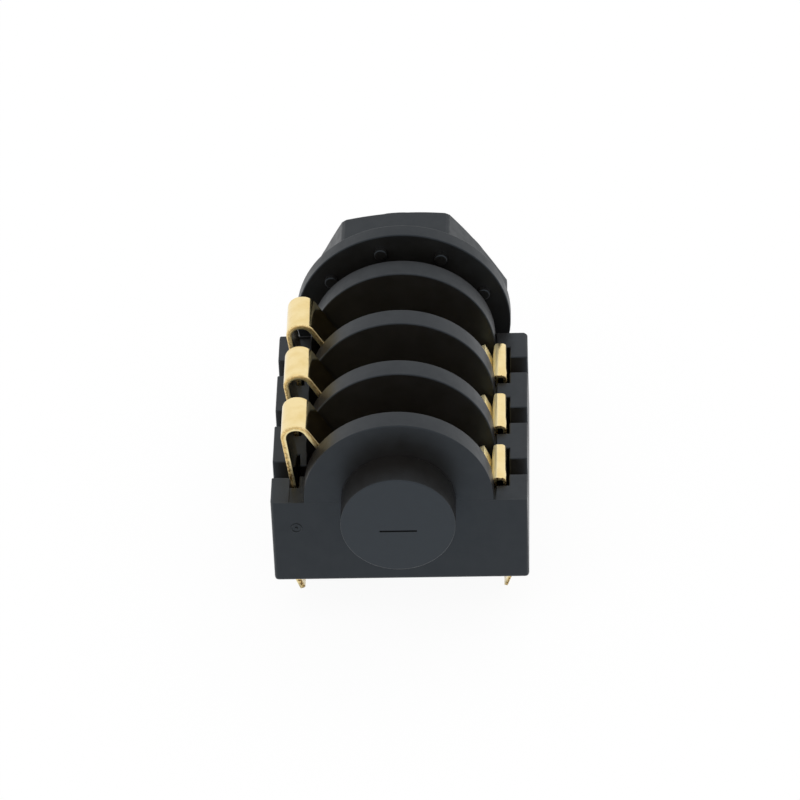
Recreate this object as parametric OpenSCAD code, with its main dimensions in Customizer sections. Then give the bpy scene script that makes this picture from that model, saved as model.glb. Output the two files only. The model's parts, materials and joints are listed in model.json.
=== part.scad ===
// Switched stereo jack socket for a 6.35 mm plug: open finned housing, threaded nose, flanged hexagon nut,
// and three gold strip contacts, each with the break contact that it rests on while no plug is in.
// Frame: origin at the centre of the six pins on the board, X across, +Y out of the mouth, +Z up.

/* [Housing] */
// Width over the side walls
base_w = 19.7; // [19.2:0.1:22]
// Height of the side walls above the board
base_h = 7.8; // [7.2:0.1:8.4]
// Height of the plug axis above the board
axis_h = 7.9; // [7.7:0.1:8.6]
// Distance from one contact to the next along the plug
pitch = 6.35; // [5.9:0.05:7]
// Thickness of each fin and of the partition below it
fin_t = 1.8; // [1.4:0.1:2.2]
// Radius of the fins round the plug axis
fin_r = 7.3; // [6.9:0.1:7.6]
// Thickness of the side walls
wall_t = 1.4; // [1.1:0.1:1.6]
// Thickness of the floor
floor_t = 1.2; // [0.8:0.1:1.6]
// Diameter of the plug bore
bore_d = 6.5; // [6.4:0.05:6.7]
// Width of the notch in each side wall, along Y
notch_w = 1.9; // [1.5:0.05:3]
// Depth of that notch below the top of the wall
notch_depth = 3; // [2:0.1:4]

/* [Contact channel] */
// Depth of the channel between the left wall and the fins
channel_depth = 0.15; // [0.1:0.05:0.4]
// Wall left at each end of the channel
channel_end = 0.12; // [0.1:0.02:0.6]
// Width of the relief groove between the right wall and the fins
groove_w = 0.12; // [0.1:0.02:0.3]
// Depth of the relief groove
groove_depth = 0.3; // [0.1:0.05:0.5]
// Thickness of the inner wall that holds the terminals upright
inner_wall_t = 0.6; // [0.4:0.05:0.8]
// Width of the gap in the inner wall, along Y
inner_gap_w = 1.25; // [0.8:0.05:2]
// Depth of that gap
inner_gap_depth = 2.5; // [1.5:0.1:3.5]

/* [Rear boss] */
// Diameter of the closed boss that takes the tip of the plug
boss_d = 8.8; // [8.2:0.1:10]
// Length of the boss behind the rear fin
boss_len = 3; // [2:0.1:5]
// Thickness of the end of the boss
boss_end_t = 0.8; // [0.5:0.1:1.4]
// Width of the mould mark on the boss
mark_w = 2.85; // [1:0.05:4]
// Height of the mould mark
mark_h = 0.16; // [0.1:0.02:0.3]
// Depth of the mould mark
mark_depth = 0.15; // [0.05:0.05:0.3]
// Distance of the mould mark below the plug axis
mark_drop = 0.57; // [0:0.01:1.5]

/* [Nose] */
// Diameter of the nose at the root of its thread
nose_d = 10.4; // [9.6:0.1:11]
// Length of the nose in front of the housing
nose_len = 8.2; // [7.5:0.1:12]
// Chamfer on the outer edge of the nose
nose_chamfer = 0.4; // [0.2:0.1:0.8]
// Chamfer round the mouth
mouth_chamfer = 0.5; // [0.2:0.1:0.8]

/* [Nut] */
// Distance from the housing to the flange of the nut
nut_gap = 1.65; // [0.6:0.05:2.5]
// Radial clearance between the nut and the nose
nut_clear = 0.05; // [0.03:0.01:0.1]
// Diameter of the flange
flange_d = 17.05; // [16.8:0.05:18]
// Thickness of the flange
flange_t = 1.33; // [0.8:0.01:2]
// Width across the flats of the hexagon
hex_af = 14.5; // [13.5:0.1:14.6]
// Diameter over the rounded corners of the hexagon
hex_corner_d = 16.5; // [15.8:0.1:16.7]
// Length of the hexagon
hex_len = 3.4; // [2.5:0.1:4.5]
// Slope of the chamfer on the front of the hexagon
hex_chamfer_a = 24; // [15:1:40]
// Chamfer at both ends of the threaded hole
nut_chamfer = 0.4; // [0.2:0.1:0.6]
// Number of grip pips on the rear face of the flange
pip_count = 9; // [6:1:12]
// Diameter of each pip
pip_d = 1; // [0.6:0.1:1.4]
// Height of each pip
pip_h = 0.4; // [0.1:0.05:0.5]
// Diameter of the circle of pips
pip_circle_d = 14; // [13:0.1:15]
// Angle from the middle of a flat to the nearest pip
pip_turn = 9.5; // [0:0.5:20]
// Angle at which the nut rests
nut_turn = 3.8; // [0:0.1:60]

/* [Contact strip] */
// Thickness of the strip of the signal contacts
strip_t = 0.42; // [0.35:0.01:0.48]
// Thickness of the strip of the break contacts
break_t = 0.28; // [0.24:0.01:0.3]
// Gap beside a signal contact, to each partition
signal_side_gap = 0.4; // [0.2:0.05:0.6]
// Gap beside a break contact, to each partition
break_side_gap = 0.22; // [0.15:0.01:0.4]
// Gap between an upright strip and the walls of its slot
slot_gap = 0.14; // [0.08:0.01:0.2]
// Gap between an upright strip and each end of its slot
slot_end_gap = 0.12; // [0.08:0.01:0.18]
// Radius of the small bends, at the middle of the strip
bend_r = 0.4; // [0.32:0.02:0.5]
// Radius of the vee that touches the plug, at the middle of the strip
vee_r = 0.5; // [0.4:0.05:0.7]
// Radius of the two bends under the plug, at the middle of the strip
under_r = 1; // [0.6:0.1:1.3]

/* [Pins] */
// Width of each solder pin, along Y
pin_w = 1.1; // [0.8:0.05:1.4]
// Length of each pin below the board plane
pin_len = 3.7; // [3.4:0.1:4.6]
// Gap round each pin in the floor
pin_gap = 0.12; // [0.05:0.01:0.2]
// Straight length of each pin through the board
pin_straight = 1.8; // [1.4:0.1:2]
// Drop from there to the knee that holds the pin in its hole
knee_drop = 0.8; // [0.6:0.1:1]
// Outward offset of the knee
knee_out = 0.25; // [0.1:0.05:0.4]
// Inward offset of the tip
tip_in = 0.15; // [0:0.05:0.4]

/* [Signal contact] */
// Height of the bend above the plug axis, at its centre
arch_rise = 4.46; // [4:0.02:5]
// Distance of that centre inside the line of the pins
arch_inset = 0.37; // [0.2:0.01:0.6]
// Radius of the bend, at the middle of the strip
arch_r = 0.92; // [0.8:0.02:1.05]
// Depth below the wall top at which the outer leg starts to lean
lean_drop = 0.3; // [0:0.1:0.6]
// Slope of the spring arm below the bend
arm_a = 60; // [57:1:63]
// Diameter of the plug
plug_d = 6.35; // [6.3:0.01:6.4]
// Reach of the corner of the vee inside the surface of the plug
contact_travel = 0.6; // [0.4:0.05:0.7]
// Half length of the vee that touches the plug
vee_half = 1.3; // [1.1:0.05:1.5]
// Gap between the plug bore and the arm that runs under it
arm_clear = 1.15; // [0.9:0.05:1.3]
// Distance past the plug axis at which the arm turns up
arm_reach = 4.4; // [4:0.1:4.8]

/* [Break contact] */
// Height of its bend above the plug axis
break_rise = 0.45; // [0.3:0.05:0.8]
// Distance between its two legs at the top
break_span = 0.72; // [0.66:0.01:0.8]
// Radius of its bends over the outer leg and at the contact point, at the middle of the strip
break_bend_r = 0.28; // [0.22:0.01:0.3]
// Radius of its fold over the inner leg, at the middle of the strip
fold_r = 0.16; // [0.16:0.01:0.22]
// Depth of the contact point below the plug axis
touch_drop = 0.85; // [0.7:0.05:1]
// Lean of the inner leg towards the tail of the spring
break_lean = 0.15; // [0.1:0.01:0.25]
// Length of the lip below the contact point
lip_len = 0.35; // [0.25:0.05:0.45]
// Slope of the lip
lip_a = 50; // [40:1:60]
// Gap between the tail and the corner of the break contact with no plug in
touch_gap = 0.03; // [0.02:0.01:0.1]
// Slope of the tail of the spring from the vertical
tail_a = 17; // [14:1:20]
// Height of the tip of the tail above the plug axis
tail_rise = 0.25; // [0.2:0.05:0.4]
// Height above the contact point at which the tail flares away
flare_rise = 0.4; // [0.3:0.05:0.6]
// Slope of that flare from the vertical
flare_a = 42; // [30:1:50]
// Depth of the foot of the tail below the contact point
tail_drop = 1.2; // [1:0.05:1.5]

/* [Hidden] */
$fn = 96;
black = "#2c2e32";
gold = "#d8b05c";
// Overshoot of a cut past the face that it opens
over = 1;
// Angle of each flat along a bend
bend_step = 10;
// Half of the short flat at the top of a signal contact, where its terminal ends and its spring starts
seam_flat = 0.05;
bays = 3;
hex_sides = 6;
bay_l = pitch - fin_t;
body_l = bays * pitch + fin_t;
front_y = body_l / 2;
rear_y = -front_y;
half_w = base_w / 2;
wall_x = half_w - wall_t;
slot_w = strip_t + 2 * slot_gap;
pin_x = wall_x - slot_w / 2;
channel_z = base_h - channel_depth;
tip_y = -pitch;
ring_y = 0;
sleeve_y = pitch;
bay_ys = [tip_y, ring_y, sleeve_y];
signal_w = bay_l - 2 * signal_side_gap;
break_w = bay_l - 2 * break_side_gap;
nut_bore_d = nose_d + 2 * nut_clear;
// Centre of the bend of a signal contact, which is also the line that its arm flexes about
arch = [arch_inset - pin_x, axis_h + arch_rise];

// Profiles are drawn in X and Z and stretched along Y
module along_y(length) {
    rotate([90, 0, 0])
        linear_extrude(length, center = true)
            children();
}

// Round features share the plug axis and start at a given Y
module on_axis(y) {
    translate([0, y, axis_h])
        rotate([-90, 0, 0])
            children();
}

// Bent strip: straight stretches between the given points, with a round bend at each point between the ends
function unit(v) = v / norm(v);
function heading(path, i) = unit(path[i + 1] - path[i]);
function left_of(d) = [-d.y, d.x];
function turn_at(path, i) =
    let (a = heading(path, i - 1), b = heading(path, i))
    atan2(a.x * b.y - a.y * b.x, a * b);
function turned(v, a) = [v.x * cos(a) - v.y * sin(a), v.x * sin(a) + v.y * cos(a)];
function bend_side(path, i, r, offset) =
    let (
        a = turn_at(path, i),
        steps = ceil(abs(a) / bend_step),
        start = path[i] - heading(path, i - 1) * r * tan(abs(a) / 2),
        spoke = left_of(heading(path, i - 1)) * -sign(a) * r
    )
    [for (k = [0:steps]) start - spoke + turned(spoke, a * k / steps) * (1 - sign(a) * offset / r)];
function strip_side(path, radii, offset) =
    let (last = len(path) - 1)
    concat(
        [path[0] + left_of(heading(path, 0)) * offset],
        [for (i = [1:last - 1]) each bend_side(path, i, radii[i - 1], offset)],
        [path[last] + left_of(heading(path, last - 1)) * offset]
    );
function reversed(list) = [for (i = [len(list) - 1:-1:0]) list[i]];

module strip(path, radii, t) {
    polygon(concat(strip_side(path, radii, t / 2), reversed(strip_side(path, radii, -t / 2))));
}

// Housing
module fin_profile() {
    translate([-fin_r, 0])
        square([2 * fin_r, axis_h]);
    translate([0, axis_h])
        circle(fin_r);
}

module partition_profile() {
    translate([-half_w, 0])
        square([base_w, base_h]);
    fin_profile();
}

module tray_profile() {
    difference() {
        translate([-half_w, 0])
            square([base_w, base_h]);
        translate([-wall_x, floor_t])
            square([2 * wall_x, base_h]);
    }
}

// Block along the left wall that holds the legs of the signal contacts, and the slot for one of them
module leg_block() {
    translate([-wall_x, rear_y, 0])
        cube([slot_w + inner_wall_t, body_l, channel_z]);
}

module leg_slot() {
    slot_l = signal_w + 2 * slot_end_gap;
    translate([-wall_x, -slot_l / 2, floor_t])
        cube([slot_w, slot_l, base_h]);
}

module inner_wall_gap() {
    translate([-wall_x, -inner_gap_w / 2, channel_z - inner_gap_depth])
        cube([slot_w + inner_wall_t + over, inner_gap_w, inner_gap_depth + over]);
}

// Notch in the right wall, cut from the middle of the contact's slot outwards
module side_notch() {
    translate([pin_x, -notch_w / 2, base_h - notch_depth])
        cube([half_w - pin_x + over, notch_w, notch_depth + over]);
}

module pin_slot(x, t) {
    w = t + 2 * pin_gap;
    l = pin_w + 2 * pin_gap;
    translate([x - w / 2, -l / 2, -over])
        cube([w, l, floor_t + 2 * over]);
}

module top_channel(x, width, depth) {
    translate([x, rear_y + channel_end, base_h - depth])
        cube([width, body_l - 2 * channel_end, depth + over]);
}

module plug_bore() {
    bore_y = rear_y - boss_len + boss_end_t;
    mouth_y = front_y + nose_len;
    on_axis(bore_y)
        cylinder(d = bore_d, h = mouth_y - bore_y + over);
    on_axis(mouth_y - mouth_chamfer)
        cylinder(d1 = bore_d, d2 = bore_d + 2 * (mouth_chamfer + over), h = mouth_chamfer + over);
}

module mould_mark() {
    translate([-mark_w / 2, rear_y - boss_len - over, axis_h - mark_drop - mark_h / 2])
        cube([mark_w, mark_depth + over, mark_h]);
}

module nose() {
    on_axis(front_y)
        cylinder(d = nose_d, h = nose_len - nose_chamfer);
    on_axis(front_y + nose_len - nose_chamfer)
        cylinder(d1 = nose_d, d2 = nose_d - 2 * nose_chamfer, h = nose_chamfer);
}

module housing() {
    color(black)
        difference() {
            union() {
                along_y(body_l)
                    tray_profile();
                for (i = [0:bays])
                    translate([0, rear_y + fin_t / 2 + i * pitch, 0])
                        along_y(fin_t)
                            partition_profile();
                leg_block();
                on_axis(rear_y - boss_len)
                    cylinder(d = boss_d, h = boss_len);
                nose();
            }
            plug_bore();
            mould_mark();
            top_channel(-wall_x, wall_x - fin_r, channel_depth);
            top_channel(fin_r, groove_w, groove_depth);
            for (y = bay_ys)
                translate([0, y, 0]) {
                    leg_slot();
                    inner_wall_gap();
                    side_notch();
                    mirror([1, 0, 0])
                        side_notch();
                    pin_slot(-pin_x, strip_t);
                    pin_slot(pin_x, break_t);
                }
        }
}

// Nut
module hex_profile() {
    flat_r = hex_af / 2;
    corner_r = hex_corner_d / 2;
    slope_h = (corner_r - flat_r) * tan(hex_chamfer_a);
    polygon([[0, 0], [corner_r, 0], [corner_r, hex_len - slope_h], [flat_r, hex_len], [0, hex_len]]);
}

module nut_hole() {
    nut_len = flange_t + hex_len;
    r = nut_bore_d / 2;
    translate([0, 0, -over])
        cylinder(r = r, h = nut_len + 2 * over);
    translate([0, 0, -over])
        cylinder(r1 = r + nut_chamfer + over, r2 = r, h = nut_chamfer + over);
    translate([0, 0, nut_len - nut_chamfer])
        cylinder(r1 = r, r2 = r + nut_chamfer + over, h = nut_chamfer + over);
}

module nut() {
    color(black)
        on_axis(front_y + nut_gap)
            rotate(-nut_turn)
                difference() {
                    union() {
                        cylinder(d = flange_d, h = flange_t);
                        translate([0, 0, flange_t])
                            intersection() {
                                rotate_extrude()
                                    hex_profile();
                                cylinder(d = hex_af / cos(180 / hex_sides), h = hex_len, $fn = hex_sides);
                            }
                        for (i = [0:pip_count - 1])
                            rotate(i * 360 / pip_count - 90 - pip_turn)
                                translate([pip_circle_d / 2, 0, -pip_h])
                                    cylinder(d = pip_d, h = pip_h);
                    }
                    nut_hole();
                }
}

// Solder pin, drawn for the right-hand row
module pin(t) {
    path = [
        [pin_x, floor_t],
        [pin_x, -pin_straight],
        [pin_x + knee_out, -pin_straight - knee_drop],
        [pin_x - tip_in, -pin_len]
    ];
    along_y(pin_w)
        strip(path, [bend_r, bend_r], t);
}

// Signal contact: terminal up to the seam at the top of the bend
seam = arch + [0, arch_r];
lean_start = [-pin_x, base_h - lean_drop];
lean_line = arch - [seam_flat, 0] - lean_start;
lean_a = atan2(lean_line.y, lean_line.x) + asin(arch_r / norm(lean_line));
lean_end = seam - [seam_flat + arch_r * tan(lean_a / 2), 0];

module terminal(y) {
    color(gold)
        translate([0, y, 0]) {
            along_y(signal_w)
                strip([[-pin_x, floor_t], lean_start, lean_end, seam], [bend_r, arch_r], strip_t);
            mirror([1, 0, 0])
                pin(strip_t);
        }
}

// Signal contact: spring arm from the seam, past the plug and under it, to the tail
arm_dir = [cos(arm_a), -sin(arm_a)];
arm_out = [-sin(arm_a), -cos(arm_a)];
arm_start = seam + [seam_flat + arch_r * tan(arm_a / 2), 0];
axis_pt = [0, axis_h];
vee_foot = arm_start + arm_dir * ((axis_pt - arm_start) * arm_dir);
vee_tip = axis_pt + arm_out * (plug_d / 2 - contact_travel + strip_t / 2);
under_z = axis_h - bore_d / 2 - arm_clear - strip_t / 2;
under_start = arm_start + arm_dir * ((arm_start.y - under_z) / sin(arm_a));
touch_z = axis_h - touch_drop;
touch_x = pin_x - break_span - break_lean - break_t / 2;
tail_x = touch_x - touch_gap - strip_t / 2 / cos(tail_a);
tail_foot = [tail_x + tail_drop * tan(tail_a), touch_z - tail_drop];
tail_flare = [tail_x - flare_rise * tan(tail_a), touch_z + flare_rise];
flare_h = axis_h + tail_rise - tail_flare.y;
tail_tip = tail_flare + flare_h * [-tan(flare_a), 1];

module spring(y) {
    path = [
        seam,
        arm_start,
        vee_foot - arm_dir * vee_half,
        vee_tip,
        vee_foot + arm_dir * vee_half,
        under_start,
        [arm_reach, under_z],
        tail_foot,
        tail_flare,
        tail_tip
    ];
    color(gold)
        translate([0, y, 0])
            along_y(signal_w)
                strip(path, [arch_r, bend_r, vee_r, bend_r, under_r, under_r, bend_r, bend_r], strip_t);
}

// Break contact that the tail of the spring rests on while no plug is in
module break_contact(y) {
    inner_x = pin_x - break_span;
    top_z = axis_h + break_rise - break_t / 2;
    touch = [inner_x - break_lean, touch_z];
    path = [
        [pin_x, floor_t],
        [pin_x, top_z],
        [inner_x, top_z],
        touch,
        touch + lip_len * [cos(lip_a), -sin(lip_a)]
    ];
    color(gold)
        translate([0, y, 0]) {
            along_y(break_w)
                strip(path, [break_bend_r, fold_r, break_bend_r], break_t);
            pin(break_t);
        }
}

module tip_terminal() {
    terminal(tip_y);
}

module ring_terminal() {
    terminal(ring_y);
}

module sleeve_terminal() {
    terminal(sleeve_y);
}

module tip_spring() {
    spring(tip_y);
}

module ring_spring() {
    spring(ring_y);
}

module sleeve_spring() {
    spring(sleeve_y);
}

module tip_break_contact() {
    break_contact(tip_y);
}

module ring_break_contact() {
    break_contact(ring_y);
}

module sleeve_break_contact() {
    break_contact(sleeve_y);
}

housing();
nut();
tip_terminal();
ring_terminal();
sleeve_terminal();
tip_spring();
ring_spring();
sleeve_spring();
tip_break_contact();
ring_break_contact();
sleeve_break_contact();
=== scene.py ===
import json
import math

import bmesh
import bpy
from mathutils import Matrix, Vector

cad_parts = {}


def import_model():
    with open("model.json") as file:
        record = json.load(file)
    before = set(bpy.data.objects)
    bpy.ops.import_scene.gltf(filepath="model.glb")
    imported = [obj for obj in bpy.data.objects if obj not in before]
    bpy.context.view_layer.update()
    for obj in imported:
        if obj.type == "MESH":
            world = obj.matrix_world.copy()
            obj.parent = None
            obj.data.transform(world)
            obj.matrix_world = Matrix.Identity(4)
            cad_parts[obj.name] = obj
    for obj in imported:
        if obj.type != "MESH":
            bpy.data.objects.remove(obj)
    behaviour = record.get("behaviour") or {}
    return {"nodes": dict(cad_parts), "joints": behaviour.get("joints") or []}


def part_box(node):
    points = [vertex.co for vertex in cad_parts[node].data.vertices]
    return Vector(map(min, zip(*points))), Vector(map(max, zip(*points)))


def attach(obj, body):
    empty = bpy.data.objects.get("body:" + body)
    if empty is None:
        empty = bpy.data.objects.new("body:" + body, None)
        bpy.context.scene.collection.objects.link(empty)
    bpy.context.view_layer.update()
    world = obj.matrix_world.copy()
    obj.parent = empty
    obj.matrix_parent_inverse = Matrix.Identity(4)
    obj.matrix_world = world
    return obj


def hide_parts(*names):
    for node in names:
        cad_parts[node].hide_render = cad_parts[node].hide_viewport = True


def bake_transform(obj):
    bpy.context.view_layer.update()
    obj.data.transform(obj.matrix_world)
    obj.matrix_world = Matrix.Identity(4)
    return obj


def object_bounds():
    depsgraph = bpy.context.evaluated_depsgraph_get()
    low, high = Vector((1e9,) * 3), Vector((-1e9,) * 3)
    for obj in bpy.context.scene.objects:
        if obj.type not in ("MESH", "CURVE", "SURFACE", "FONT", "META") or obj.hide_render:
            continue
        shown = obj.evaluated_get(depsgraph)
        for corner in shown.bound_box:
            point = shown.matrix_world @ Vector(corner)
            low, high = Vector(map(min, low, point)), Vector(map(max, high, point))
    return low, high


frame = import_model()
cad_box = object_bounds()

# Blender works in metres
MM = 0.001

# Camera, at the photograph's viewing angle
CAM_AZIMUTH = 2.567
CAM_ELEVATION = 38.376
CAM_ROLL = -2.476
CAM_DISTANCE = 440.95 * MM
CAM_TARGET = Vector((-0.0085, -0.425, 9.782)) * MM
IMAGE_WIDTH_PX = 800
FOCAL_PX = 5676.4
SENSOR_MM = 36
CLIP_START = 0.01
CLIP_END = 10

# Light: uniform white surroundings, and two wide lamps that don't show in reflections
AMBIENT = 0.9
LAMP_RADIANCE = 1.0
LAMP_WIDTH = 0.5
KEY_PLACE = Vector((-0.15, -0.2, 0.45))
FILL_PLACE = Vector((0.2, 0.3, 0.4))
FLOOR_HALF = 3.0
FLOOR_GREY = 0.86
FLOOR_ROUGHNESS = 0.9
FLOOR_GLOW = 0.94

# Places on the housing
HALF_WIDTH = 9.85 * MM
FRONT_Y = 10.425 * MM
REAR_Y = -FRONT_Y
WALL_TOP = 7.8 * MM
PLUG_AXIS = 7.9 * MM
FIN_RADIUS = 7.3 * MM
BOSS_RADIUS = 4.4 * MM
BOSS_END = REAR_Y - 3 * MM
NOSE_RADIUS = 5.2 * MM
NOSE_CHAMFER = 0.4 * MM

# Plastic of the mouldings: dark and light tone, shine and share of dust of each, and their common finish
HOUSING_TONES = (0.0085, 0.0067, 0.0048), (0.0115, 0.0097, 0.0078)
HOUSING_SHINE = 0.46
HOUSING_DUST = 0.05
NUT_TONES = (0.0075, 0.0066, 0.0055), (0.0105, 0.0096, 0.0084)
NUT_SHINE = 0.4
NUT_DUST = 0.03
SHINE_TINT = (0.62, 0.8, 1.0)
MOTTLE_SIZE = 1.5 * MM
MOTTLE_RANGE = 0.35, 0.7
# Paler tone of the boss's end face and rim, which is a painted highlight
BOSS_END_HIGHLIGHT_TONE = (0.0165, 0.0165, 0.0165)
BOSS_HIGHLIGHT_FADE = 0.2 * MM
DUST_TONE = (0.3, 0.3, 0.29)
DUST_SPACING = 1.3 * MM
DUST_SIZE = 0.04 * MM
PLASTIC_ROUGHNESS = 0.34, 0.44
SATIN_SIZE = 0.7 * MM
GRAIN_SIZE = 0.09 * MM
GRAIN_DEPTH = 0.006 * MM
FLOW_SIZE = 1.1 * MM
FLOW_STRETCH = (1, 0.25, 1)
FLOW_DEPTH = 0.012 * MM

# Range that most of the values of a noise lie in
NOISE_RANGE = 0.3, 0.7

# Edges of the mouldings
WELD = 0.001 * MM
FLAT_ANGLE = math.radians(0.1)
SHARP_ANGLE = math.radians(35)
SMOOTH_ANGLE = math.radians(40)
PARALLEL = 0.999
MOULD_ROUND = 0.1 * MM
CORNER_ROUND = 0.3 * MM
ROUND_ROOM = 2.2
ROUND_SEGMENTS = 3

# Weight of large faces in smooth shading
FACE_WEIGHT = 90

# Edges of the contact strips: rolled over on the side where the punch went in, sharp on the other
ROLLED_ROUND = 0.13 * MM
SHARP_ROUND = 0.04 * MM
CORNER_STEPS = 4
EDGE_NORMAL = 0.5

# Flared end of a spring's tail, which stands more upright than in the solid
FLARE_SECTIONS = 4
FLARE_TURN = math.radians(-16.5)

# Plating of the contact strips
GOLD_TONES = (0.84, 0.65, 0.3), (0.9, 0.73, 0.39)
GOLD_ROUGHNESS = 0.1, 0.16
TARNISH_SIZE = 1.1 * MM
TARNISH_RANGE = 0.3, 0.6
LINE_SIZE = 1 * MM
LINE_STRETCH = (0.35, 14, 0.35)
WAVE_SIZE = 0.8 * MM
WAVE_DEPTH = 0.015 * MM

# Matt plating whose paler tone is painted light, from left to right across the tails and the inner legs of
# the break contacts
MATT_PAINTED_LIGHT_TONE = (0.97, 0.87, 0.56)
MATT_ROUGHNESS = 0.6
MATT_AND_LIGHT_START = 4.5 * MM
MATT_AND_LIGHT_FULL = 5.5 * MM
MATT_AND_LIGHT_FADE = 7.35 * MM
MATT_AND_LIGHT_END = 7.6 * MM

# Sheared edges of the strips: tones from the inner to the outer side, and pits, most of them low down
EDGE_TONES = (
    (0.0, (0.92, 0.79, 0.45)),
    (0.4, (0.9, 0.74, 0.38)),
    (0.55, (0.8, 0.56, 0.22)),
    (1.0, (0.92, 0.72, 0.36)),
)
EDGE_ROUGHNESS = 0.28, 0.42
RAGGED_SIZE = 0.3 * MM
RAGGED_REACH = 0.12
TORN_START = 0.2
TORN_FULL = 0.5
CUT_SHARE = 0.2
PIT_TONE = (0.14, 0.07, 0.02)
PIT_SIZE = 0.16 * MM
PIT_RANGE = 0.46, 0.56
PITS_THIN = 12.5 * MM
PITS_FULL = 8.5 * MM
THIN_SHARE = 0.3
DENT_SIZE = 0.11 * MM
DENT_DEPTH = 0.01 * MM

# Thread of the nose
THREAD_PITCH = 1.0 * MM
THREAD_HEIGHT = 0.32 * MM
THREAD_CREST = 0.22 * MM
THREAD_ROOT = 0.78 * MM
THREAD_STEPS = 48
THREAD_FADE_STEPS = 8
THREAD_GAP = 0.15 * MM

# Marks that the mould leaves on the rear face
PARTING_WIDTH = 0.06 * MM
PARTING_PROUD = 0.015 * MM
CAVITY_PLACE = Vector((-7.95, REAR_Y / MM, 5.3)) * MM
CAVITY_RADIUS = 0.4 * MM
CAVITY_WIRE = 0.06 * MM
CAVITY_DOT = 0.12 * MM
CAVITY_STEPS = 32
WIRE_STEPS = 8

POLES = ("tip", "ring", "sleeve")


# Shader helpers
def new_material(name):
    material = bpy.data.materials.new(name)
    material.use_nodes = True
    tree = material.node_tree
    return material, tree, tree.nodes["Principled BSDF"]


def add_node(tree, kind, **values):
    node = tree.nodes.new(kind)
    for key, value in values.items():
        setattr(node, key, value)
    return node


def maths(tree, operation, first, second):
    """Result of one operation on outputs or plain numbers."""
    node = add_node(tree, "ShaderNodeMath", operation=operation)
    for socket, value in zip(node.inputs, (first, second)):
        if isinstance(value, (int, float)):
            socket.default_value = value
        else:
            tree.links.new(value, socket)
    return node.outputs["Value"]


def object_coords(tree):
    return add_node(tree, "ShaderNodeTexCoord").outputs["Object"]


def along(tree, axis):
    """Position along one of the object's own axes."""
    position = add_node(tree, "ShaderNodeSeparateXYZ")
    tree.links.new(object_coords(tree), position.inputs["Vector"])
    return position.outputs[axis]


def noise(tree, feature, detail=3.0, stretch=(1, 1, 1)):
    """Noise over the object's own coordinates, with features of about the given size."""
    mapping = add_node(tree, "ShaderNodeMapping")
    mapping.inputs["Scale"].default_value = stretch
    texture = add_node(tree, "ShaderNodeTexNoise")
    texture.inputs["Scale"].default_value = 1 / feature
    texture.inputs["Detail"].default_value = detail
    tree.links.new(object_coords(tree), mapping.inputs["Vector"])
    tree.links.new(mapping.outputs["Vector"], texture.inputs["Vector"])
    return texture.outputs["Fac"]


def ramp(tree, source, stops):
    """Colour ramp over a value: stops are (position, colour) pairs."""
    node = add_node(tree, "ShaderNodeValToRGB")
    elements = node.color_ramp.elements
    elements[0].position, elements[1].position = stops[0][0], stops[-1][0]
    for position, _ in stops[1:-1]:
        elements.new(position)
    for element, (_, colour) in zip(elements, stops):
        element.color = (*colour, 1)
    tree.links.new(source, node.inputs["Fac"])
    return node.outputs["Color"]


def remap(tree, source, start, end, low, high):
    """Value between low and high as the source goes from start to end."""
    node = add_node(tree, "ShaderNodeMapRange")
    node.inputs["From Min"].default_value = start
    node.inputs["From Max"].default_value = end
    node.inputs["To Min"].default_value = low
    node.inputs["To Max"].default_value = high
    tree.links.new(source, node.inputs["Value"])
    return node.outputs["Result"]


def stained(tree, share, colour, stain):
    """The given colour, turned to the stain by its share."""
    node = add_node(tree, "ShaderNodeMix", data_type="RGBA")
    # The colour sockets of this node come after those for numbers and vectors, under the same names
    factor, clean, dirty = (node.inputs[i] for i in (0, 6, 7))
    dirty.default_value = (*stain, 1)
    tree.links.new(share, factor)
    tree.links.new(colour, clean)
    return node.outputs[2]


def bump(tree, height, depth, strength, below=None):
    """Bump of the given depth in metres, on top of another bump if there is one."""
    node = add_node(tree, "ShaderNodeBump")
    node.inputs["Strength"].default_value = strength
    node.inputs["Distance"].default_value = depth
    tree.links.new(height, node.inputs["Height"])
    if below:
        tree.links.new(below, node.inputs["Normal"])
    return node.outputs["Normal"]


def specks(tree, spacing, size, share):
    """1 on a few small specks of dust and 0 between them."""
    cells = add_node(tree, "ShaderNodeTexVoronoi")
    cells.inputs["Scale"].default_value = 1 / spacing
    channel = add_node(tree, "ShaderNodeSeparateColor")
    tree.links.new(object_coords(tree), cells.inputs["Vector"])
    tree.links.new(cells.outputs["Color"], channel.inputs["Color"])
    near = maths(tree, "LESS_THAN", cells.outputs["Distance"], size / spacing)
    chosen = maths(tree, "LESS_THAN", channel.outputs["Red"], share)
    return maths(tree, "MULTIPLY", near, chosen)


def seen_directly(tree):
    """1 for the camera's rays, mirrored rays and rays through glass, and 0 for diffuse light."""
    path = add_node(tree, "ShaderNodeLightPath")
    mirrored = maths(tree, "MAXIMUM", path.outputs["Is Camera Ray"], path.outputs["Is Glossy Ray"])
    return maths(tree, "MAXIMUM", mirrored, path.outputs["Is Transmission Ray"])


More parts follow.
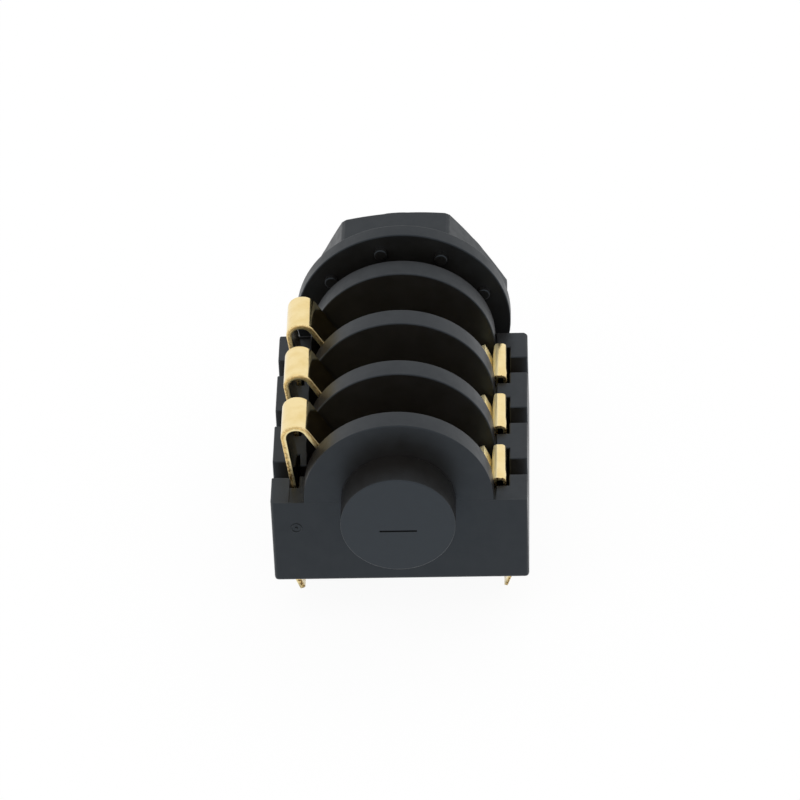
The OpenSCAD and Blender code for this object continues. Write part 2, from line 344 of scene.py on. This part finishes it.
# Materials
def black_plastic(name, tones, shine, dust_share):
    """Satin black moulding: mottled, with fine grain, flow marks and dust, and a painted highlight that
    makes the end of the boss paler.
    """
    material, tree, bsdf = new_material(name)
    bsdf.inputs["Specular IOR Level"].default_value = shine
    bsdf.inputs["Specular Tint"].default_value = (*SHINE_TINT, 1)
    mottle = ramp(tree, noise(tree, MOTTLE_SIZE, detail=5), list(zip(MOTTLE_RANGE, tones)))
    # The end of the boss and its rim are painted paler, as a painted highlight
    boss_highlight = remap(tree, along(tree, "Y"), BOSS_END + BOSS_HIGHLIGHT_FADE, BOSS_END, 0.0, 1.0)
    with_boss_highlight = stained(tree, boss_highlight, mottle, BOSS_END_HIGHLIGHT_TONE)
    dust = specks(tree, DUST_SPACING, DUST_SIZE, dust_share)
    colour = stained(tree, dust, with_boss_highlight, DUST_TONE)
    rough = remap(tree, noise(tree, SATIN_SIZE, detail=6), *NOISE_RANGE, *PLASTIC_ROUGHNESS)
    grain = bump(tree, noise(tree, GRAIN_SIZE, detail=2), GRAIN_DEPTH, strength=0.5)
    flow_marks = noise(tree, FLOW_SIZE, detail=3, stretch=FLOW_STRETCH)
    flow = bump(tree, flow_marks, FLOW_DEPTH, strength=0.3, below=grain)
    tree.links.new(colour, bsdf.inputs["Base Color"])
    tree.links.new(rough, bsdf.inputs["Roughness"])
    tree.links.new(flow, bsdf.inputs["Normal"])
    return material


def gold_plate(name):
    """Gold-plated rolled strip: soft tarnish, faint lines, and matt plating where contacts meet, painted
    paler there as painted light.
    """
    material, tree, bsdf = new_material(name)
    bsdf.inputs["Metallic"].default_value = 1.0
    tone = ramp(tree, noise(tree, TARNISH_SIZE, detail=5), list(zip(TARNISH_RANGE, GOLD_TONES)))
    place = along(tree, "X")
    past_start = remap(tree, place, MATT_AND_LIGHT_START, MATT_AND_LIGHT_FULL, 0.0, 1.0)
    before_end = remap(tree, place, MATT_AND_LIGHT_END, MATT_AND_LIGHT_FADE, 0.0, 1.0)
    # Where the contacts meet, the plating is made matt, and its paler tone is painted light
    matt_and_light = maths(tree, "MULTIPLY", before_end, past_start)
    lines = noise(tree, LINE_SIZE, detail=3, stretch=LINE_STRETCH)
    polish = remap(tree, lines, *NOISE_RANGE, *GOLD_ROUGHNESS)
    rough = maths(tree, "ADD", polish, maths(tree, "MULTIPLY", matt_and_light, MATT_ROUGHNESS))
    waves = bump(tree, noise(tree, WAVE_SIZE, detail=2), WAVE_DEPTH, strength=0.3)
    # The paler tone over the tails and the inner legs is painted light
    tree.links.new(stained(tree, matt_and_light, tone, MATT_PAINTED_LIGHT_TONE), bsdf.inputs["Base Color"])
    tree.links.new(rough, bsdf.inputs["Roughness"])
    tree.links.new(waves, bsdf.inputs["Normal"])
    return material


def gold_edge(name):
    """Sheared edge of the strip: bright over the cut half, duller and pitted brown over the torn half."""
    material, tree, bsdf = new_material(name)
    bsdf.inputs["Metallic"].default_value = 1.0
    across = add_node(tree, "ShaderNodeAttribute", attribute_name="across").outputs["Fac"]
    shift = remap(tree, noise(tree, RAGGED_SIZE, detail=4), *NOISE_RANGE, -RAGGED_REACH, RAGGED_REACH)
    tone = ramp(tree, maths(tree, "ADD", across, shift), EDGE_TONES)
    low_down = remap(tree, along(tree, "Z"), PITS_THIN, PITS_FULL, THIN_SHARE, 1.0)
    pits = remap(tree, noise(tree, PIT_SIZE, detail=3), *PIT_RANGE, 0.0, 1.0)
    torn = remap(tree, across, TORN_START, TORN_FULL, CUT_SHARE, 1.0)
    share = maths(tree, "MULTIPLY", maths(tree, "MULTIPLY", pits, torn), low_down)
    rough = remap(tree, torn, 0.0, 1.0, *EDGE_ROUGHNESS)
    dents = bump(tree, noise(tree, DENT_SIZE, detail=3), DENT_DEPTH, strength=0.5)
    tree.links.new(stained(tree, share, tone, PIT_TONE), bsdf.inputs["Base Color"])
    tree.links.new(rough, bsdf.inputs["Roughness"])
    tree.links.new(dents, bsdf.inputs["Normal"])
    return material


def floor_material():
    """Pale floor that shows as white, with the object's soft shadow."""
    material, tree, bsdf = new_material("floor")
    bsdf.inputs["Base Color"].default_value = (FLOOR_GREY, FLOOR_GREY, FLOOR_GREY, 1)
    bsdf.inputs["Roughness"].default_value = FLOOR_ROUGHNESS
    bsdf.inputs["Specular IOR Level"].default_value = 0.0
    white = add_node(tree, "ShaderNodeEmission")
    mix = add_node(tree, "ShaderNodeMixShader")
    tree.links.new(maths(tree, "MULTIPLY", seen_directly(tree), FLOOR_GLOW), mix.inputs["Fac"])
    tree.links.new(bsdf.outputs["BSDF"], mix.inputs[1])
    tree.links.new(white.outputs["Emission"], mix.inputs[2])
    tree.links.new(mix.outputs["Shader"], tree.nodes["Material Output"].inputs["Surface"])
    return material


# Mesh helpers
def add_piece(name, mesh, materials):
    """A new object from a bmesh, which is used up."""
    data = bpy.data.meshes.new(name)
    mesh.to_mesh(data)
    mesh.free()
    for material in materials:
        data.materials.append(material)
    piece = bpy.data.objects.new(name, data)
    bpy.context.scene.collection.objects.link(piece)
    return piece


def shade_smooth(piece):
    """Smooth shading that keeps large flats flat."""
    for polygon in piece.data.polygons:
        polygon.use_smooth = True
    modifier = piece.modifiers.new("weighted normals", "WEIGHTED_NORMAL")
    modifier.weight = FACE_WEIGHT
    modifier.keep_sharp = True


def smooth_corners(data):
    """Normals that keep flats flat: each face shares them only with faces that turn little from it."""
    limit = math.cos(SMOOTH_ANGLE)
    faces = [(polygon.normal.copy(), polygon.area) for polygon in data.polygons]
    around = [[] for _ in data.vertices]
    for polygon, face in zip(data.polygons, faces):
        polygon.use_smooth = True
        for i in polygon.vertices:
            around[i].append(face)
    corners = []
    for polygon, (own, _) in zip(data.polygons, faces):
        for i in polygon.vertices:
            near = (normal * area for normal, area in around[i] if normal.dot(own) > limit)
            corners.append(sum(near, Vector()).normalized())
    data.normals_split_custom_set(corners)


def skin(mesh, rings, closed=False):
    """Joins rings of vertices into a tube that is capped at its ends or closed on itself."""
    following = rings[1:] + (rings[:1] if closed else [])
    for ring, after in zip(rings, following):
        for i, vert in enumerate(ring):
            j = (i + 1) % len(ring)
            mesh.faces.new((vert, ring[j], after[j], after[i]))
    if not closed:
        mesh.faces.new(rings[0])
        mesh.faces.new(rings[-1][::-1])
    bmesh.ops.recalc_face_normals(mesh, faces=mesh.faces)


def solid_mesh(node):
    """The node's solid as one welded mesh with its flat faces whole."""
    mesh = bmesh.new()
    mesh.from_mesh(frame["nodes"][node].data)
    bmesh.ops.remove_doubles(mesh, verts=mesh.verts, dist=WELD)
    bmesh.ops.dissolve_limit(mesh, angle_limit=FLAT_ANGLE, verts=mesh.verts, edges=mesh.edges)
    return mesh


# Mouldings
def clear_width(face, edge):
    """Distance from an edge to the nearest edge that runs beside it across the face."""
    start = edge.verts[0].co
    length = edge.calc_length()
    direction = (edge.verts[1].co - start) / length
    width = math.inf
    for other in face.edges:
        a, b = (v.co - start for v in other.verts)
        low, high = sorted((a.dot(direction), b.dot(direction)))
        parallel = high - low > PARALLEL * (b - a).length
        if other is not edge and parallel and high > WELD and low < length - WELD:
            width = min(width, (a - direction * a.dot(direction)).length)
    return width


def moulding(name, node, material, is_corner):
    """A moulded piece over its solid, with its outer edges rounded."""
    mesh = solid_mesh(node)
    weight = mesh.edges.layers.float.new("bevel_weight_edge")
    for edge in mesh.edges:
        if edge.calc_face_angle(0) < SHARP_ANGLE:
            continue
        radius = CORNER_ROUND if is_corner(edge) else MOULD_ROUND
        roomy = all(clear_width(face, edge) > ROUND_ROOM * radius for face in edge.link_faces)
        if edge.is_convex and roomy:
            edge[weight] = radius / CORNER_ROUND
    piece = add_piece(name, mesh, [material])
    bevel = piece.modifiers.new("rounded edges", "BEVEL")
    bevel.limit_method = "WEIGHT"
    bevel.width = CORNER_ROUND
    bevel.segments = ROUND_SEGMENTS
    bevel.use_clamp_overlap = False
    bevel.loop_slide = False
    bevel.miter_outer = "MITER_ARC"
    rounded = piece.evaluated_get(bpy.context.evaluated_depsgraph_get())
    piece.data = bpy.data.meshes.new_from_object(rounded)
    piece.modifiers.clear()
    smooth_corners(piece.data)
    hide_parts(node)
    return piece


def base_corner(edge):
    """True on the four upright corners of the base and round its bottom."""
    def all_at(distances, place):
        return all(abs(d - place) < WELD for d in distances)

    points = [v.co for v in edge.verts]
    on_side = all_at([abs(p.x) for p in points], HALF_WIDTH)
    return on_side and (all_at([abs(p.y) for p in points], FRONT_Y) or all_at([p.z for p in points], 0))


def no_corner(edge):
    return False


def add_to_housing(name, mesh, material):
    piece = add_piece(name, mesh, [material])
    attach(piece, "housing")
    return piece


def thread(name, start_y, end_y, material):
    """A stretch of the thread on the nose, as a ridge that fades in and out."""
    mesh = bmesh.new()
    turns = (end_y - start_y - THREAD_ROOT) / THREAD_PITCH
    steps = int(turns * THREAD_STEPS)
    rings = []
    for k in range(steps + 1):
        angle = 2 * math.pi * k / THREAD_STEPS
        fade = min(1, (k + 1) / THREAD_FADE_STEPS, (steps - k + 1) / THREAD_FADE_STEPS)
        root = NOSE_RADIUS - WELD
        crest = NOSE_RADIUS + THREAD_HEIGHT * fade
        middle = start_y + THREAD_ROOT / 2 + THREAD_PITCH * k / THREAD_STEPS
        half_root, half_crest = THREAD_ROOT / 2, THREAD_CREST / 2
        profile = ((root, -half_root), (crest, -half_crest), (crest, half_crest), (root, half_root))
        rings.append([
            mesh.verts.new((r * math.cos(angle), middle + dy, PLUG_AXIS + r * math.sin(angle)))
            for r, dy in profile
        ])
    skin(mesh, rings)
    add_to_housing(name, mesh, material)


def parting_line(name, start_x, end_x, material):
    """The thin ridge where two halves of the mould meet, across the rear face."""
    mesh = bmesh.new()
    half = PARTING_WIDTH / 2
    profile = ((REAR_Y + WELD, -half), (REAR_Y - PARTING_PROUD, 0), (REAR_Y + WELD, half))
    rings = [[mesh.verts.new((x, y, WALL_TOP + dz)) for y, dz in profile] for x in (start_x, end_x)]
    skin(mesh, rings)
    add_to_housing(name, mesh, material)


def cavity_mark(material):
    """A small raised ring with a dot, which tells one cavity of the mould from the next."""
    mesh = bmesh.new()
    rings = []
    for k in range(CAVITY_STEPS):
        angle = 2 * math.pi * k / CAVITY_STEPS
        outward = Vector((math.cos(angle), 0, math.sin(angle)))
        ring = []
        for i in range(WIRE_STEPS):
            turn = 2 * math.pi * i / WIRE_STEPS
            radius = CAVITY_RADIUS + CAVITY_WIRE * math.cos(turn)
            depth = Vector((0, CAVITY_WIRE * math.sin(turn), 0))
            ring.append(mesh.verts.new(CAVITY_PLACE + outward * radius + depth))
        rings.append(ring)
    skin(mesh, rings, closed=True)
    dot = Matrix.Translation(CAVITY_PLACE)
    bmesh.ops.create_icosphere(mesh, subdivisions=2, radius=CAVITY_DOT, matrix=dot)
    shade_smooth(add_to_housing("cavity_mark", mesh, material))


# Contacts
def side_outlines(node):
    """Outlines of the node's side faces towards +Y, narrowest strip first, each as (x, z) points and a Y."""
    mesh = solid_mesh(node)
    sides = [face for face in mesh.faces if face.normal.y > PARALLEL]
    sides.sort(key=lambda face: face.verts[0].co.y)
    outlines = [([v.co.xz for v in face.verts], face.verts[0].co.y) for face in sides]
    mesh.free()
    return outlines


def cross_sections(outline):
    """Pairs of points across a strip of even thickness, from one of its ends to the other."""
    count = len(outline)

    def pairs(end):
        return [(outline[(end - i) % count], outline[(end + 1 + i) % count]) for i in range(count // 2)]

    def unevenness(end):
        spans = [(a - b).length for a, b in pairs(end)]
        return max(spans) - min(spans)

    return pairs(min(range(count), key=unevenness))


def top_side_last(sections):
    """The same cross sections with their second points on the side that is uppermost at the strip's top."""
    a, b = max(sections, key=lambda pair: pair[0].y + pair[1].y)
    return sections if b.y > a.y else [pair[::-1] for pair in sections]


def started_at(sections, point):
    """The same cross sections, from the end that is nearer the point."""
    first, last = (sum(sections[i], Vector((0, 0))) / 2 for i in (0, -1))
    return sections if (first - point).length < (last - point).length else sections[::-1]


def strip_from(node, which):
    """Cross sections, centre Y and half width of one strip of a node: 0 is the pin where there are two."""
    outline, side_y = side_outlines(node)[which]
    low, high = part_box(node)
    centre_y = (low.y + high.y) / 2
    return top_side_last(cross_sections(outline)), centre_y, side_y - centre_y


def section_ring(a, b, half_width, top_round):
    """Places round one cross section, as a depth from a to b and an offset along Y."""
    thickness = (b - a).length
    for quarter in range(4):
        on_top = quarter in (0, 3)
        radius = top_round if on_top else SHARP_ROUND
        depth = thickness - radius if on_top else radius
        offset = half_width - radius if quarter < 2 else radius - half_width
        for step in range(CORNER_STEPS + 1):
            turn = math.radians(90 * (quarter + step / CORNER_STEPS))
            yield depth + radius * math.cos(turn), offset + radius * math.sin(turn)


def strip_piece(name, strips, top_round, materials):
    """One contact from its strips, with its sheared sides in the second material."""
    mesh = bmesh.new()
    share = mesh.verts.layers.float.new("across")
    for sections, centre_y, half_width in strips:
        rings = []
        for a, b in sections:
            ring = []
            for depth, offset in section_ring(a, b, half_width, top_round):
                point = a + (b - a).normalized() * depth
                vert = mesh.verts.new((point.x, centre_y + offset, point.y))
                vert[share] = depth / (b - a).length
                ring.append(vert)
            rings.append(ring)
        skin(mesh, rings)
    for face in mesh.faces:
        face.material_index = 1 if abs(face.normal.y) > EDGE_NORMAL else 0
    piece = add_piece(name, mesh, materials)
    shade_smooth(piece)
    return piece


def upright_flare(arm):
    """The cross sections of an arm with the flare of its tail turned up and straight."""
    middle = sum(arm[-FLARE_SECTIONS - 1], Vector((0, 0))) / 2
    turn = Matrix.Rotation(FLARE_TURN, 2)
    tip = tuple(middle + turn @ (point - middle) for point in arm[-1])
    return arm[:-FLARE_SECTIONS] + [tip]


def signal_contact(pole, materials):
    """Terminal and spring as the one strip that they are, which bends at the top."""
    terminal, spring = f"{pole}_terminal", f"{pole}_spring"
    joint = next(j for j in frame["joints"] if j["child"] == spring)
    bend = Vector(joint["pos_m"])
    upright, centre_y, half_width = strip_from(terminal, -1)
    arm, _, _ = strip_from(spring, -1)
    upright = started_at(upright, Vector((upright[0][0].x, 0)))
    arm = upright_flare(started_at(arm, bend.xz))
    strips = [(upright + arm[1:], centre_y, half_width), strip_from(terminal, 0)]
    piece = strip_piece(f"{pole}_contact", strips, ROLLED_ROUND, materials)
    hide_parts(terminal, spring)
    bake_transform(piece)


def break_contact(pole, materials):
    node = f"{pole}_break_contact"
    strips = [strip_from(node, -1), strip_from(node, 0)]
    piece = strip_piece(f"{pole}_break", strips, SHARP_ROUND, materials)
    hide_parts(node)
    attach(piece, "housing")


# Stage
def floor():
    mesh = bmesh.new()
    z = cad_box[0].z
    corners = ((-1, -1), (1, -1), (1, 1), (-1, 1))
    mesh.faces.new([mesh.verts.new((FLOOR_HALF * x, FLOOR_HALF * y, z)) for x, y in corners])
    add_piece("floor", mesh, [floor_material()])


def world():
    """White surroundings, at full white where the camera or a reflection sees them."""
    scene_world = bpy.data.worlds.new("studio")
    scene_world.use_nodes = True
    tree = scene_world.node_tree
    background = tree.nodes["Background"]
    background.inputs["Color"].default_value = (1, 1, 1, 1)
    strength = remap(tree, seen_directly(tree), 0, 1, AMBIENT, 1.0)
    tree.links.new(strength, background.inputs["Strength"])
    bpy.context.scene.world = scene_world


def soft_lamp(name, place):
    """A wide round lamp that faces the object."""
    area = math.pi * LAMP_WIDTH ** 2 / 4
    lamp = bpy.data.lights.new(name, "AREA")
    lamp.shape = "DISK"
    lamp.size = LAMP_WIDTH
    lamp.energy = LAMP_RADIANCE * math.pi * area
    holder = bpy.data.objects.new(name, lamp)
    holder.location = place
    holder.rotation_euler = (CAM_TARGET - place).to_track_quat("-Z", "Y").to_euler()
    holder.visible_glossy = False
    bpy.context.scene.collection.objects.link(holder)


def camera():
    azimuth, elevation, roll = (math.radians(a) for a in (CAM_AZIMUTH, CAM_ELEVATION, CAM_ROLL))
    back = Vector((
        math.sin(azimuth) * math.cos(elevation),
        -math.cos(azimuth) * math.cos(elevation),
        math.sin(elevation),
    ))
    level = Vector((math.cos(azimuth), math.sin(azimuth), 0))
    upright = back.cross(level)
    right = level * math.cos(roll) + upright * math.sin(roll)
    up = upright * math.cos(roll) - level * math.sin(roll)
    data = bpy.data.cameras.new("camera")
    data.sensor_width = SENSOR_MM
    data.lens = FOCAL_PX * SENSOR_MM / IMAGE_WIDTH_PX
    data.clip_start = CLIP_START
    data.clip_end = CLIP_END
    holder = bpy.data.objects.new("camera", data)
    turn = Matrix((right, up, back)).transposed().to_4x4()
    holder.matrix_world = Matrix.Translation(CAM_TARGET + back * CAM_DISTANCE) @ turn
    bpy.context.scene.collection.objects.link(holder)
    bpy.context.scene.camera = holder


# Build
housing_black = black_plastic("housing plastic", HOUSING_TONES, HOUSING_SHINE, HOUSING_DUST)
nut_black = black_plastic("nut plastic", NUT_TONES, NUT_SHINE, NUT_DUST)
gold = [gold_plate("gold plate"), gold_edge("sheared gold")]

shell = moulding("housing_moulding", "housing", housing_black, base_corner)
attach(shell, "housing")
nut = moulding("nut_moulding", "nut", nut_black, no_corner)
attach(nut, "nut")
for pole in POLES:
    signal_contact(pole, gold)
    break_contact(pole, gold)

nut_rear, nut_front = (corner.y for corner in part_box("nut"))
nose_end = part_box("housing")[1].y
thread("rear_thread", FRONT_Y + THREAD_GAP, nut_rear, housing_black)
thread("front_thread", nut_front + THREAD_GAP, nose_end - NOSE_CHAMFER, housing_black)
parting_line("left_parting_line", -FIN_RADIUS, -BOSS_RADIUS, housing_black)
parting_line("right_parting_line", BOSS_RADIUS, FIN_RADIUS, housing_black)
cavity_mark(housing_black)

floor()
world()
soft_lamp("key", KEY_PLACE)
soft_lamp("fill", FILL_PLACE)
camera()
bpy.context.scene.view_settings.view_transform = "Standard"
